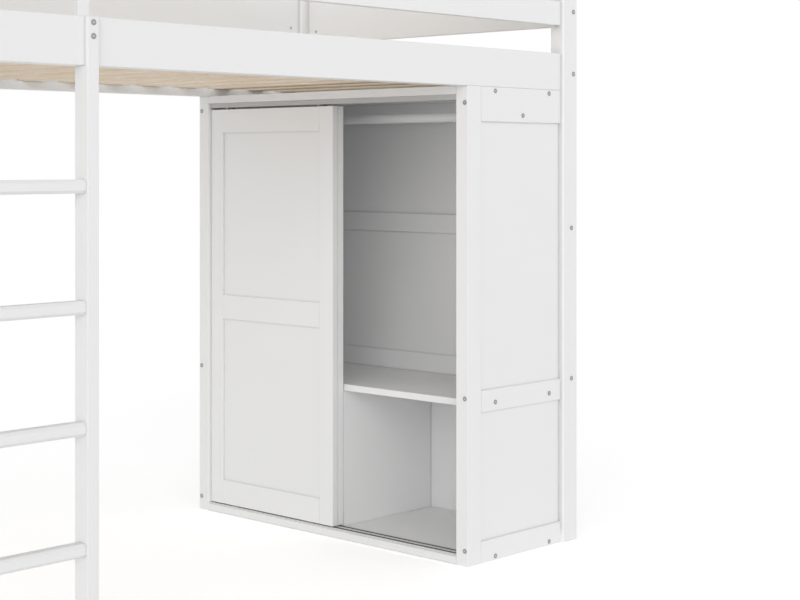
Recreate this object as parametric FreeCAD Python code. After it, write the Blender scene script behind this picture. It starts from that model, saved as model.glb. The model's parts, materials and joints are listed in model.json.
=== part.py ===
import FreeCAD, Part
import math
import os

os.makedirs("parts", exist_ok=True)

# Loft bed with a wardrobe under one end. The origin is on the floor under the middle of the bed.
# +X runs along the bed towards the wardrobe end, +Y to the back (the wall side) and +Z up.

# The mattress that the frame is made for, and the room left around it
mattress_length = 1905.0
mattress_width = 990.0
mattress_play_length = 22.2
mattress_play_width = 14.0

# Posts, with their outer faces a little in front of the rails
post_width = 62.0
post_depth = 44.0
post_proud = 10.0
post_ease = 3.0
post_above_guard = 12.0

# Rails and guard boards
board_thickness = 22.0
board_ease = 1.0
end_board_setback = 6.4
wardrobe_height = 1219.0
rail_height = 99.0
guard_gap = 76.0
guard_height = 64.0
mid_rail_thickness = 22.0
mid_rail_height = 54.0
mid_rail_line = 35.8
upper_mid_rail_underside = 820.0

# Slats, laid across on the cleats
cleat_depth = 23.0
cleat_height = 22.0
slat_width = 65.5
slat_thickness = 18.0
slat_gap_limit = 68.0
slat_play = 1.0
slat_ease = 2.5

# Ladder at the end away from the wardrobe
ladder_clear_width = 300.0
upright_width = 28.0
rung_count = 4
rung_depth = 34.0
rung_thickness = 28.0
rung_ease = 6.0
rung_groove_width = 3.0
rung_groove_depth = 1.2
rung_groove_pitch = 8.0
rung_groove_count = 3
rung_tenon_width = 22.0
rung_tenon_height = 14.0
rung_tenon_length = 20.0
mortise_play = 0.1
guard_upright_thickness = 18.0
guard_upright_lap = 52.0

# Wardrobe carcass
wardrobe_reach = 381.5
carcass_board = 21.0
stile_width = 52.0
stile_depth = 40.0
stile_ease = 1.0
side_top_height = 90.0
side_mid_underside = 385.0
side_mid_height = 56.0
side_bottom_height = 56.0
side_panel_inset = 6.6
side_panel_thickness = 6.0
back_panel_thickness = 4.0
panel_groove_depth = 8.0
panel_play = 0.3
shelf_top = 413.0
shelf_thickness = 18.0
shelf_setback = 55.5
divider_line = 499.0
divider_thickness = 21.0
carcass_ease = 1.5

# Hanging rod
rod_radius = 12.5
rod_setback = 221.0
rod_drop = 72.0

# Double tracks for the two doors
track_setback = 10.0
track_width = 45.0
track_ease = 0.6
top_track_height = 13.5
top_groove_width = 12.0
top_groove_depth = 10.0
bottom_track_height = 5.0
bottom_track_rebate = 2.0
bottom_groove_width = 11.0
bottom_groove_depth = 3.5
middle_slot_width = 5.0
middle_slot_depth = 4.0

# Sliding doors, one behind the other
door_setback = 10.6
door_thickness = 20.0
door_spacing = 2.0
door_overlap = 50.8
door_side_gap = 0.6
door_top_gap = 5.5
door_bottom_gap = 3.0
door_stile_width = 51.5
door_top_rail_height = 68.0
door_mid_rail_height = 69.5
door_mid_rail_rise = 540.5
door_bottom_rail_height = 69.0
door_panel_recess = 6.0
door_panel_thickness = 6.0
door_groove_depth = 9.0
door_ease = 0.8
door_play = 0.2

# Roller units in the bottom edge of each door
roller_inset = 98.0
wheel_radius = 12.0
wheel_width = 8.4
wheel_running_gap = 0.3
axle_radius = 2.0
axle_clearance = 0.05
housing_width = 14.0
housing_length = 50.0
housing_height = 26.0
housing_slot_width = 9.0
housing_slot_room = 2.0
housing_flange_thickness = 1.5
housing_flange_reach = 8.0
housing_ease = 1.0
housing_play = 0.2

# Guide buttons on the top edge of each door
guide_inset = 62.0
guide_plate_width = 14.0
guide_plate_length = 44.0
guide_plate_thickness = 2.0
guide_pin_radius = 5.5
guide_pin_height = 12.0

# Connector bolts, cross nuts and the holes drilled for them
bolt_head_radius = 6.0
bolt_head_sides = 6
bolt_head_height = 2.0
bolt_shank_radius = 3.0
bolt_shank_sides = 4
bolt_hole_clearance = 0.3
bolt_tip_room = 2.0
nut_radius = 5.0
nut_sides = 6
nut_length = 16.0
nut_inset = 32.0
nut_clearance = 0.2
screw_bite = 40.0
end_rail_bolt_rise = 45.0
side_rail_bolt_low = 34.0
side_rail_bolt_high = 74.0
end_guard_bolt_rise = 38.0
side_guard_bolt_rise = 48.0
side_bolt_front = 108.0
side_bolt_back = 332.0
side_bottom_bolt_rise = 39.0
side_mid_bolt_rise = 40.0
side_top_bolt_drop = 43.0
shelf_bolt_drop = 6.0
lap_bolt_low = 12.0
lap_bolt_high = 40.0

# How far every cutting tool runs past the wood
overrun = 5.0

# Places along and across the bed, worked out from the mattress outwards
inner_x = (mattress_length + mattress_play_length) / 2
inner_y = (mattress_width + mattress_play_width) / 2
side_plane = inner_y + board_thickness
post_face = side_plane + post_proud
post_back = post_face - post_depth
post_end = inner_x + board_thickness + end_board_setback
post_inside = post_end - post_width
end_board_line = inner_x + board_thickness / 2
mid_rail_centre = post_inside + mid_rail_line
mid_rail_inner = mid_rail_centre - mid_rail_thickness / 2
mid_rail_outer = mid_rail_centre + mid_rail_thickness / 2

# Heights
rail_bottom = wardrobe_height
rail_top = rail_bottom + rail_height
guard_low_bottom = rail_top + guard_gap
guard_low_top = guard_low_bottom + guard_height
guard_high_bottom = guard_low_top + guard_gap
guard_top = guard_high_bottom + guard_height
post_height = guard_top + post_above_guard
slat_bottom = rail_bottom + cleat_height
slat_top = slat_bottom + slat_thickness

# Ladder
upright_left = -post_inside + ladder_clear_width
upright_right = upright_left + upright_width
rung_pitch = rail_bottom / (rung_count + 1)
rung_line = side_plane + post_proud - post_depth / 2

# Wardrobe
face_x = post_inside - wardrobe_reach
stile_back = face_x + stile_width
stile_inner = side_plane - stile_depth
carcass_inner = side_plane - carcass_board
ceiling_z = wardrobe_height - carcass_board
rod_height = wardrobe_height - rod_drop
side_top_bottom = wardrobe_height - side_top_height
side_mid_top = side_mid_underside + side_mid_height
back_panel_front = mid_rail_centre - back_panel_thickness / 2
back_panel_back = mid_rail_centre + back_panel_thickness / 2
shelf_bottom = shelf_top - shelf_thickness
lower_mid_rail_top = shelf_top + mid_rail_height
upper_mid_rail_top = upper_mid_rail_underside + mid_rail_height

# Tracks and doors
top_track_bottom = ceiling_z - top_track_height
bottom_track_bottom = carcass_board - bottom_track_rebate
bottom_track_top = bottom_track_bottom + bottom_track_height
groove_floor = bottom_track_top - bottom_groove_depth
door_top = top_track_bottom - door_top_gap
door_bottom = bottom_track_top + door_bottom_gap
door_width = (stile_inner + stile_inner + door_overlap) / 2
door_high_y = stile_inner - door_side_gap
door_low_y = door_high_y - door_width
wheel_centre_z = groove_floor + wheel_running_gap + wheel_radius
door_fronts = {"front": face_x + door_setback, "rear": face_x + door_setback + door_thickness + door_spacing}

sides = {"front": -1, "back": 1}
ends = {"left": -1, "right": 1}
along_x = FreeCAD.Vector(1, 0, 0)
along_y = FreeCAD.Vector(0, 1, 0)
along_z = FreeCAD.Vector(0, 0, 1)
parallel_share = 0.99
full_turn = 360.0

pieces = {}
rungs = []
bolts = []
cross_nuts = []


def block(xs, ys, zs):
    """Box between two places along each axis, given in either order."""
    corner = FreeCAD.Vector(min(xs), min(ys), min(zs))
    return Part.makeBox(max(xs) - min(xs), max(ys) - min(ys), max(zs) - min(zs), corner)


def rod(start, direction, length, radius):
    """Round bar or drill from a point along a direction."""
    return Part.makeCylinder(radius, length, start, direction)


def prism(start, direction, length, radius, side_count):
    """Straight bar with a regular outline, for hardware that is too small to draw round."""
    outward = along_x if abs(direction.dot(along_z)) > parallel_share else along_z
    corners = []
    for index in range(side_count):
        turn = FreeCAD.Rotation(direction, full_turn * index / side_count)
        corners.append(start + turn.multVec(outward * radius))
    outline = Part.makePolygon(corners + corners[:1])
    return Part.Face(outline).extrude(direction * length)


def ease(shape, run, width):
    """Take the sharpness off the straight edges that run along one direction."""
    edges = []
    for edge in shape.Edges:
        if abs(edge.tangentAt(edge.FirstParameter).dot(run)) > parallel_share:
            edges.append(edge)
    return shape.makeChamfer(width, edges)


def board(xs, ys, zs, run, width):
    """Sawn board with its long edges eased."""
    return ease(block(xs, ys, zs), run, width)


def across(side, depth):
    """Place across the bed, a depth in from the outer plane of the rails on that side."""
    return side * (side_plane - depth)


def join(names, start, direction, reach):
    """Flat-headed bolt that goes in at a surface point, and its hole in every piece it passes."""
    head = prism(start, -direction, bolt_head_height, bolt_head_radius, bolt_head_sides)
    shank = prism(start, direction, reach, bolt_shank_radius, bolt_shank_sides)
    bolts.append(head.fuse(shank).removeSplitter())
    hole = prism(start, direction, reach + bolt_tip_room,
                 bolt_shank_radius + bolt_hole_clearance, bolt_shank_sides)
    for name in names:
        pieces[name] = pieces[name].cut(hole)


def cross_nut(name, place, outward, face_distance):
    """Cross nut that a bolt ends in, set in from the face that lies outward of the bolt's axis."""
    mouth = place + outward * face_distance
    pocket = prism(mouth + outward * overrun, -outward, overrun + nut_length,
                   nut_radius + nut_clearance, nut_sides)
    pieces[name] = pieces[name].cut(pocket)
    cross_nuts.append(prism(mouth, -outward, nut_length, nut_radius, nut_sides))


def end_joint(post, member, start, direction, post_size, outward, face_distance):
    """Bolt through a post into the end of a board, up to its cross nut in the board's face."""
    join([post, member], start, direction, post_size + nut_inset - nut_radius)
    place = start + direction * (post_size + nut_inset)
    cross_nut(member, place, outward, face_distance)


def make_posts():
    for end_name, end in ends.items():
        for side_name, side in sides.items():
            post = board([end * post_inside, end * post_end], [side * post_back, side * post_face],
                         [0, post_height], along_z, post_ease)
            top_edges = [edge for edge in post.Edges if edge.BoundBox.ZMin > guard_top]
            pieces[side_name + "_" + end_name + "_post"] = post.makeChamfer(board_ease, top_edges)


def make_side_rails():
    for side_name, side in sides.items():
        ys = [side * inner_y, side * side_plane]
        run = [-post_inside, post_inside]
        pieces[side_name + "_side_rail"] = board(run, ys, [rail_bottom, rail_top], along_x, board_ease)
        ys = [side * inner_y, side * (inner_y - cleat_depth)]
        pieces[side_name + "_slat_cleat"] = board(run, ys, [rail_bottom, slat_bottom], along_x, board_ease)


def make_end_boards():
    ys = [-post_back, post_back]
    for end_name, end in ends.items():
        xs = [end * inner_x, end * (inner_x + board_thickness)]
        pieces[end_name + "_end_rail"] = board(xs, ys, [rail_bottom, rail_top], along_y, board_ease)
        pieces[end_name + "_guard_board"] = board(xs, ys, [guard_low_bottom, guard_top], along_y, board_ease)
        xs = [end * mid_rail_inner, end * mid_rail_outer]
        low = [shelf_top, lower_mid_rail_top]
        high = [upper_mid_rail_underside, upper_mid_rail_top]
        pieces[end_name + "_lower_mid_rail"] = board(xs, ys, low, along_y, board_ease)
        pieces[end_name + "_upper_mid_rail"] = board(xs, ys, high, along_y, board_ease)


def make_guards():
    back = [inner_y, side_plane]
    front = [-inner_y, -side_plane]
    pieces["back_guard_board"] = board([-post_inside, post_inside], back, [guard_low_bottom, guard_top],
                                       along_x, board_ease)
    xs = [upright_left, post_inside]
    pieces["front_guard_lower"] = board(xs, front, [guard_low_bottom, guard_low_top], along_x, board_ease)
    pieces["front_guard_upper"] = board(xs, front, [guard_high_bottom, guard_top], along_x, board_ease)
    ys = [-inner_y, guard_upright_thickness - inner_y]
    zs = [rail_top - guard_upright_lap, guard_top]
    pieces["guard_upright"] = board([upright_left, upright_right], ys, zs, along_z, board_ease)


def make_slats():
    """As few slats as keep the gaps within their limit, spaced evenly along the cleats."""
    half_length = inner_y - slat_play
    room = inner_x + inner_x
    count = math.ceil((room - slat_gap_limit) / (slat_width + slat_gap_limit))
    gap = (room - count * slat_width) / (count + 1)
    slats = []
    for index in range(count):
        left = -inner_x + gap + index * (slat_width + gap)
        xs = [left, left + slat_width]
        slats.append(board(xs, [-half_length, half_length], [slat_bottom, slat_top], along_y, slat_ease))
    pieces["bed_slats"] = Part.makeCompound(slats)


def tenon(xs, centre, play):
    """Tenon at a rung's height from end to end, or with some play the cutter for its two mortises."""
    half_width = rung_tenon_width / 2 + play
    half_height = rung_tenon_height / 2 + play
    return block(xs, [-rung_line - half_width, -rung_line + half_width],
                 [centre - half_height, centre + half_height])


def make_ladder():
    """Upright with a tongue that laps the rail, and grooved rungs tenoned into it and the corner post."""
    xs = [upright_left, upright_right]
    lower = block(xs, [-post_face, -post_back], [0, rail_bottom])
    tongue = block(xs, [-post_face, -side_plane], [0, rail_top])
    upright = ease(lower.fuse(tongue).removeSplitter(), along_z, board_ease)
    post = pieces["front_left_post"]
    for index in range(rung_count):
        centre = (index + 1) * rung_pitch
        ys = [-rung_line - rung_depth / 2, -rung_line + rung_depth / 2]
        zs = [centre - rung_thickness / 2, centre + rung_thickness / 2]
        rung = board([-post_inside, upright_left], ys, zs, along_x, rung_ease)
        for line in range(rung_groove_count):
            middle = -rung_line + (line - (rung_groove_count - 1) / 2) * rung_groove_pitch
            groove_ys = [middle - rung_groove_width / 2, middle + rung_groove_width / 2]
            groove_zs = [max(zs) - rung_groove_depth, max(zs) + overrun]
            rung = rung.cut(block([-post_inside, upright_left], groove_ys, groove_zs))
        reach = rung_tenon_length - mortise_play
        xs = [-post_inside - reach, upright_left + reach]
        rungs.append(rung.fuse(tenon(xs, centre, 0)).removeSplitter())
        xs = [-post_inside - rung_tenon_length, upright_left + rung_tenon_length]
        post = post.cut(tenon(xs, centre, mortise_play))
        upright = upright.cut(tenon(xs, centre, mortise_play))
    pieces["front_left_post"] = post
    pieces["ladder_upright"] = upright
    pieces["ladder_rungs"] = Part.makeCompound(rungs)


def side_groove(side, xs, zs):
    """Groove cutter for a side panel, between two places along the bed and two heights."""
    inset = side_panel_inset - panel_play
    depth = side_panel_inset + side_panel_thickness + panel_play
    return block(xs, [across(side, inset), across(side, depth)], zs)


def make_wardrobe_sides():
    """Framed side walls: stile, three cross boards and two panels that sit in their grooves."""
    groove_bottom = side_bottom_height - panel_groove_depth
    groove_top = side_top_bottom + panel_groove_depth
    for side_name, side in sides.items():
        label = "wardrobe_" + side_name
        ys = [across(side, 0), across(side, stile_depth)]
        stile = board([face_x, stile_back], ys, [0, wardrobe_height], along_z, stile_ease)
        tall = [groove_bottom, groove_top]
        pieces[label + "_stile"] = stile.cut(
            side_groove(side, [stile_back - panel_groove_depth, stile_back + overrun], tall))
        post = side_name + "_right_post"
        pieces[post] = pieces[post].cut(
            side_groove(side, [post_inside - overrun, post_inside + panel_groove_depth], tall))
        ys = [across(side, 0), across(side, carcass_board)]
        run = [stile_back, post_inside]
        cut_run = [stile_back - overrun, post_inside + overrun]
        top = board(run, ys, [side_top_bottom, wardrobe_height], along_x, carcass_ease)
        mid = board(run, ys, [side_mid_underside, side_mid_top], along_x, carcass_ease)
        bottom = board(run, ys, [0, side_bottom_height], along_x, carcass_ease)
        under_top = side_groove(side, cut_run, [side_top_bottom - overrun, groove_top])
        low_panel_top = side_mid_underside + panel_groove_depth
        under_mid = side_groove(side, cut_run, [side_mid_underside - overrun, low_panel_top])
        over_mid = side_groove(side, cut_run, [side_mid_top - panel_groove_depth, side_mid_top + overrun])
        over_bottom = side_groove(side, cut_run, [groove_bottom, side_bottom_height + overrun])
        pieces[label + "_top_board"] = top.cut(under_top)
        pieces[label + "_mid_rail"] = mid.cut(under_mid).cut(over_mid)
        pieces[label + "_bottom_rail"] = bottom.cut(over_bottom)
        reach = panel_groove_depth - panel_play
        xs = [stile_back - reach, post_inside + reach]
        ys = [across(side, side_panel_inset), across(side, side_panel_inset + side_panel_thickness)]
        low = block(xs, ys, [groove_bottom, low_panel_top - panel_play])
        high = block(xs, ys, [side_mid_top - panel_groove_depth, groove_top - panel_play])
        pieces[label + "_panels"] = Part.makeCompound([low, high])


def notch_for_frame(panel, zs):
    """Cut a panel's corners away around the stiles and the bed posts."""
    for side in sides.values():
        outside = across(side, -overrun)
        panel = panel.cut(block([face_x - overrun, stile_back], [side * stile_inner, outside], zs))
        panel = panel.cut(block([post_inside, post_end], [side * post_back, outside], zs))
    return panel


def back_groove(zs):
    """Groove cutter for the back panels, right across between the posts."""
    xs = [back_panel_front - panel_play, back_panel_back + panel_play]
    return block(xs, [-carcass_inner, carcass_inner], zs)


def make_wardrobe_inside():
    """Top, bottom, shelf and divider of the wardrobe."""
    ys = [-carcass_inner, carcass_inner]
    tall = [-overrun, wardrobe_height + overrun]
    top = block([face_x, mid_rail_outer], ys, [ceiling_z, wardrobe_height])
    top = ease(notch_for_frame(top, tall), along_y, carcass_ease)
    pieces["wardrobe_top_panel"] = top.cut(back_groove([ceiling_z - overrun, ceiling_z + panel_groove_depth]))
    bottom = block([face_x, mid_rail_outer], ys, [0, carcass_board])
    bottom = ease(notch_for_frame(bottom, tall), along_y, carcass_ease)
    bottom = bottom.cut(back_groove([carcass_board - panel_groove_depth, carcass_board + overrun]))
    rebate_xs = [face_x + track_setback, face_x + track_setback + track_width]
    rebate_zs = [bottom_track_bottom, carcass_board + overrun]
    pieces["wardrobe_bottom_panel"] = bottom.cut(block(rebate_xs, [-stile_inner, stile_inner], rebate_zs))
    shelf_xs = [face_x + shelf_setback, back_panel_front - panel_play]
    shelf = block(shelf_xs, ys, [shelf_bottom, shelf_top])
    pieces["wardrobe_shelf"] = notch_for_frame(ease(shelf, along_y, carcass_ease), tall)
    divider_ys = [divider_line - side_plane, divider_line + divider_thickness - side_plane]
    divider = block(shelf_xs, divider_ys, [carcass_board, shelf_bottom])
    pieces["wardrobe_divider"] = ease(divider, along_z, carcass_ease)


def make_wardrobe_back():
    """Thin back panels held in grooves in the posts, the mid rails, the top and the bottom."""
    reach = post_back + panel_groove_depth
    xs = [back_panel_front, back_panel_back]
    groove_xs = [back_panel_front - panel_play, back_panel_back + panel_play]
    groove_zs = [carcass_board - panel_groove_depth, ceiling_z + panel_groove_depth]
    for side_name, side in sides.items():
        post = side_name + "_right_post"
        cutter = block(groove_xs, [side * (post_back - overrun), side * reach], groove_zs)
        pieces[post] = pieces[post].cut(cutter)
    ys = [panel_play - reach, reach - panel_play]
    edges = {"lower": [carcass_board, shelf_top], "middle": [lower_mid_rail_top, upper_mid_rail_underside],
             "upper": [upper_mid_rail_top, ceiling_z]}
    for name, (low, high) in edges.items():
        zs = [low - panel_groove_depth, high + panel_groove_depth - panel_play]
        pieces["back_panel_" + name] = block(xs, ys, zs)
    for name, low, high in [("right_lower_mid_rail", shelf_top, lower_mid_rail_top),
                            ("right_upper_mid_rail", upper_mid_rail_underside, upper_mid_rail_top)]:
        rail = pieces[name].cut(back_groove([low - overrun, low + panel_groove_depth]))
        pieces[name] = rail.cut(back_groove([high - panel_groove_depth, high + overrun]))


def make_rod():
    start = FreeCAD.Vector(face_x + rod_setback, -carcass_inner, rod_height)
    pieces["hanging_rod"] = rod(start, along_y, carcass_inner + carcass_inner, rod_radius)


def make_tracks():
    """Double tracks: a deep one under the top that guides the doors, and a low one that the wheels run in."""
    xs = [face_x + track_setback, face_x + track_setback + track_width]
    ys = [-stile_inner, stile_inner]
    top = board(xs, ys, [top_track_bottom, ceiling_z], along_y, track_ease)
    bottom = board(xs, ys, [bottom_track_bottom, bottom_track_top], along_y, track_ease)
    for front in door_fronts.values():
        centre = front + door_thickness / 2
        groove_xs = [centre - top_groove_width / 2, centre + top_groove_width / 2]
        top = top.cut(block(groove_xs, ys, [top_track_bottom - overrun, top_track_bottom + top_groove_depth]))
        groove_xs = [centre - bottom_groove_width / 2, centre + bottom_groove_width / 2]
        bottom = bottom.cut(block(groove_xs, ys, [groove_floor, bottom_track_top + overrun]))
    middle = (door_fronts["front"] + door_thickness + door_fronts["rear"]) / 2
    slot_xs = [middle - middle_slot_width / 2, middle + middle_slot_width / 2]
    top = top.cut(block(slot_xs, ys, [top_track_bottom - overrun, top_track_bottom + middle_slot_depth]))
    pieces["top_track"] = top
    pieces["bottom_track"] = bottom


def door_rail(xs, zs, tongue_xs, groove_xs, groove_below, groove_above):
    """Cross rail of a door with a tongue at each end and grooves for the panels."""
    inner = [door_low_y + door_stile_width, door_high_y - door_stile_width]
    tongue_reach = door_groove_depth - door_play
    rail = board(xs, inner, zs, along_y, door_ease)
    tongue_ys = [min(inner) - tongue_reach, max(inner) + tongue_reach]
    tongue_zs = [min(zs), max(zs)]
    if groove_below:
        rail = rail.cut(block(groove_xs, tongue_ys, [min(zs) - overrun, min(zs) + door_groove_depth]))
        tongue_zs[0] = min(zs) + door_groove_depth
    if groove_above:
        rail = rail.cut(block(groove_xs, tongue_ys, [max(zs) - door_groove_depth, max(zs) + overrun]))
        tongue_zs[1] = max(zs) - door_groove_depth
    return rail.fuse(block(tongue_xs, tongue_ys, tongue_zs)).removeSplitter()


def make_door(name, front):
    """Framed door: two stiles, three tongued rails and two loose panels."""
    xs = [front, front + door_thickness]
    panel_xs = [front + door_panel_recess, front + door_panel_recess + door_panel_thickness]
    groove_xs = [min(panel_xs) - door_play, max(panel_xs) + door_play]
    zs = [door_bottom, door_top]
    inner_low = door_low_y + door_stile_width
    inner_high = door_high_y - door_stile_width
    low = board(xs, [door_low_y, inner_low], zs, along_z, door_ease)
    high = board(xs, [inner_high, door_high_y], zs, along_z, door_ease)
    low = low.cut(block(groove_xs, [inner_low - door_groove_depth, inner_low + overrun], zs))
    high = high.cut(block(groove_xs, [inner_high - overrun, inner_high + door_groove_depth], zs))
    pieces[name + "_door_stiles"] = Part.makeCompound([low, high])
    bottom_top = door_bottom + door_bottom_rail_height
    mid_bottom = door_bottom + door_mid_rail_rise
    mid_top = mid_bottom + door_mid_rail_height
    top_bottom = door_top - door_top_rail_height
    rails = [door_rail(xs, [door_bottom, bottom_top], panel_xs, groove_xs, False, True),
             door_rail(xs, [mid_bottom, mid_top], panel_xs, groove_xs, True, True),
             door_rail(xs, [top_bottom, door_top], panel_xs, groove_xs, True, False)]
    pieces[name + "_door_rails"] = Part.makeCompound(rails)
    reach = door_groove_depth - door_play
    ys = [inner_low - reach, inner_high + reach]
    lower = block(panel_xs, ys, [bottom_top - door_groove_depth, mid_bottom + reach])
    upper = block(panel_xs, ys, [mid_top - door_groove_depth, top_bottom + reach])
    pieces[name + "_door_panels"] = Part.makeCompound([lower, upper])


def make_wheel(centre):
    """Nylon wheel, bored for its axle."""
    start = centre - along_x * wheel_width / 2
    bore = rod(start, along_x, wheel_width, axle_radius + axle_clearance)
    return rod(start, along_x, wheel_width, wheel_radius).cut(bore)


def make_housing(centre):
    """Roller unit: a body let into the door's edge, a flange under it and the wheel's fixed axle."""
    xs = [centre.x - housing_width / 2, centre.x + housing_width / 2]
    ys = [centre.y - housing_length / 2, centre.y + housing_length / 2]
    body = board(xs, ys, [door_bottom, door_bottom + housing_height], along_z, housing_ease)
    flange_ys = [min(ys) - housing_flange_reach, max(ys) + housing_flange_reach]
    flange_zs = [door_bottom - housing_flange_thickness, door_bottom]
    flange = board(xs, flange_ys, flange_zs, along_z, housing_ease)
    slot_xs = [centre.x - housing_slot_width / 2, centre.x + housing_slot_width / 2]
    slot_reach = wheel_radius + housing_slot_room
    slot = block(slot_xs, [centre.y - slot_reach, centre.y + slot_reach],
                 [door_bottom - overrun, wheel_centre_z + slot_reach])
    axle = rod(centre - along_x * housing_width / 2, along_x, housing_width, axle_radius)
    return body.fuse(flange).cut(slot).fuse(axle).removeSplitter()


def make_rollers(name, front):
    """Two roller units and their wheels in pockets cut up into the door's bottom rail."""
    rails = name + "_door_rails"
    housings = []
    places = {"low": door_low_y + roller_inset, "high": door_high_y - roller_inset}
    for label, y in places.items():
        centre = FreeCAD.Vector(front + door_thickness / 2, y, wheel_centre_z)
        half_width = housing_width / 2 + housing_play
        half_length = housing_length / 2 + housing_play
        pocket = block([centre.x - half_width, centre.x + half_width], [y - half_length, y + half_length],
                       [door_bottom - overrun, door_bottom + housing_height + housing_play])
        pieces[rails] = pieces[rails].cut(pocket)
        housings.append(make_housing(centre))
        pieces[name + "_door_wheel_" + label] = make_wheel(centre)
    pieces[name + "_roller_housings"] = Part.makeCompound(housings)


def make_guides(name, front):
    """Guide buttons let into the top edge of a door, which stand up into the top track."""
    stiles = name + "_door_stiles"
    rails = name + "_door_rails"
    guides = []
    for y in [door_low_y + guide_inset, door_high_y - guide_inset]:
        centre = FreeCAD.Vector(front + door_thickness / 2, y, door_top)
        xs = [centre.x - guide_plate_width / 2, centre.x + guide_plate_width / 2]
        ys = [y - guide_plate_length / 2, y + guide_plate_length / 2]
        plate = board(xs, ys, [door_top - guide_plate_thickness, door_top], along_z, housing_ease)
        pin = rod(centre, along_z, guide_pin_height, guide_pin_radius)
        recess_xs = [min(xs) - housing_play, max(xs) + housing_play]
        recess_ys = [min(ys) - housing_play, max(ys) + housing_play]
        recess = block(recess_xs, recess_ys, [door_top - guide_plate_thickness, door_top + overrun])
        pieces[stiles] = pieces[stiles].cut(recess)
        pieces[rails] = pieces[rails].cut(recess)
        guides.append(plate.fuse(pin).removeSplitter())
    pieces[name + "_top_guides"] = Part.makeCompound(guides)


def bolt_post_crossways(end_name, end, side_name, side):
    """Bolts through one post into the ends of the end rail, the guard board and the two mid rails."""
    post = side_name + "_" + end_name + "_post"
    mid_centre = mid_rail_height / 2
    joints = [("_end_rail", end_board_line, rail_bottom + end_rail_bolt_rise, board_thickness),
              ("_guard_board", end_board_line, guard_low_bottom + end_guard_bolt_rise, board_thickness),
              ("_guard_board", end_board_line, guard_top - end_guard_bolt_rise, board_thickness),
              ("_lower_mid_rail", mid_rail_centre, shelf_top + mid_centre, mid_rail_thickness),
              ("_upper_mid_rail", mid_rail_centre, upper_mid_rail_underside + mid_centre, mid_rail_thickness)]
    for member, line, height, thickness in joints:
        start = FreeCAD.Vector(end * line, side * post_face, height)
        end_joint(post, end_name + member, start, along_y * -side, post_depth, along_x * -end, thickness / 2)


def bolt_post_lengthways(end_name, end, side_name, side):
    """Bolts through one post into the ends of the side rail and the guard boards."""
    post = side_name + "_" + end_name + "_post"
    line = side * (side_plane - board_thickness / 2)
    low_guard = guard_low_bottom + side_guard_bolt_rise
    high_guard = guard_top - side_guard_bolt_rise
    joints = [(side_name + "_side_rail", rail_bottom + side_rail_bolt_low),
              (side_name + "_side_rail", rail_bottom + side_rail_bolt_high)]
    if side_name == "back":
        joints += [("back_guard_board", low_guard), ("back_guard_board", high_guard)]
    elif end_name == "right":
        joints += [("front_guard_lower", low_guard), ("front_guard_upper", high_guard)]
    for member, height in joints:
        start = FreeCAD.Vector(end * post_end, line, height)
        end_joint(post, member, start, along_x * -end, post_width, along_y * -side, board_thickness / 2)


def bolt_bed():
    for end_name, end in ends.items():
        for side_name, side in sides.items():
            bolt_post_crossways(end_name, end, side_name, side)
            bolt_post_lengthways(end_name, end, side_name, side)


def bolt_guard_upright():
    """Bolts through the ladder's tongue and the front guard boards into the guard upright."""
    line = upright_left + upright_width / 2
    bite = board_thickness + guard_upright_thickness - bolt_tip_room - bolt_tip_room
    for rise in [lap_bolt_low, lap_bolt_high]:
        start = FreeCAD.Vector(line, -post_face, rail_top - guard_upright_lap + rise)
        join(["ladder_upright", "front_side_rail", "guard_upright"], start, along_y, post_proud + bite)
    for name, low in [("front_guard_lower", guard_low_bottom), ("front_guard_upper", guard_high_bottom)]:
        start = FreeCAD.Vector(line, -side_plane, low + guard_height / 2)
        join([name, "guard_upright"], start, along_y, bite)


def bolt_wardrobe():
    """Bolts that hold the wardrobe's side frames together, to the posts and to the panels inside."""
    frame_joints = [("_bottom_rail", side_bottom_bolt_rise),
                    ("_mid_rail", side_mid_underside + side_mid_bolt_rise),
                    ("_top_board", wardrobe_height - side_top_bolt_drop)]
    panel_joints = [("_bottom_rail", "wardrobe_bottom_panel", carcass_board / 2),
                    ("_mid_rail", "wardrobe_shelf", shelf_top - shelf_bolt_drop),
                    ("_top_board", "wardrobe_top_panel", wardrobe_height - carcass_board / 2)]
    for side_name, side in sides.items():
        label = "wardrobe_" + side_name
        line = across(side, carcass_board / 2)
        for member, height in frame_joints:
            start = FreeCAD.Vector(face_x, line, height)
            end_joint(label + "_stile", label + member, start, along_x, stile_width, along_y * -side,
                      carcass_board / 2)
            start = FreeCAD.Vector(post_end, line, height)
            end_joint(side_name + "_right_post", label + member, start, -along_x, post_width, along_y * -side,
                      carcass_board / 2)
        for member, panel, height in panel_joints:
            for setback in [side_bolt_front, side_bolt_back]:
                start = FreeCAD.Vector(face_x + setback, side * side_plane, height)
                join([label + member, panel], start, along_y * -side, carcass_board + screw_bite)
        start = FreeCAD.Vector(face_x + rod_setback, side * side_plane, rod_height)
        join([label + "_top_board", "hanging_rod"], start, along_y * -side, carcass_board + screw_bite)


make_posts()
make_side_rails()
make_end_boards()
make_guards()
make_slats()
make_ladder()
make_wardrobe_sides()
make_wardrobe_inside()
make_wardrobe_back()
make_rod()
make_tracks()
for door_name, door_front in door_fronts.items():
    make_door(door_name, door_front)
    make_rollers(door_name, door_front)
    make_guides(door_name, door_front)
bolt_bed()
bolt_guard_upright()
bolt_wardrobe()

pieces["connector_bolts"] = Part.makeCompound(bolts)
pieces["cross_nuts"] = Part.makeCompound(cross_nuts)

for name, shape in pieces.items():
    shape.exportStep("parts/" + name + ".step")
print(len(pieces), "nodes,", sum(len(shape.Solids) for shape in pieces.values()), "solids")
print("door travel", door_low_y + stile_inner - door_side_gap)
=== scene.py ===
import json
import math

import bmesh
import bpy
from mathutils import Matrix, Vector


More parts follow.
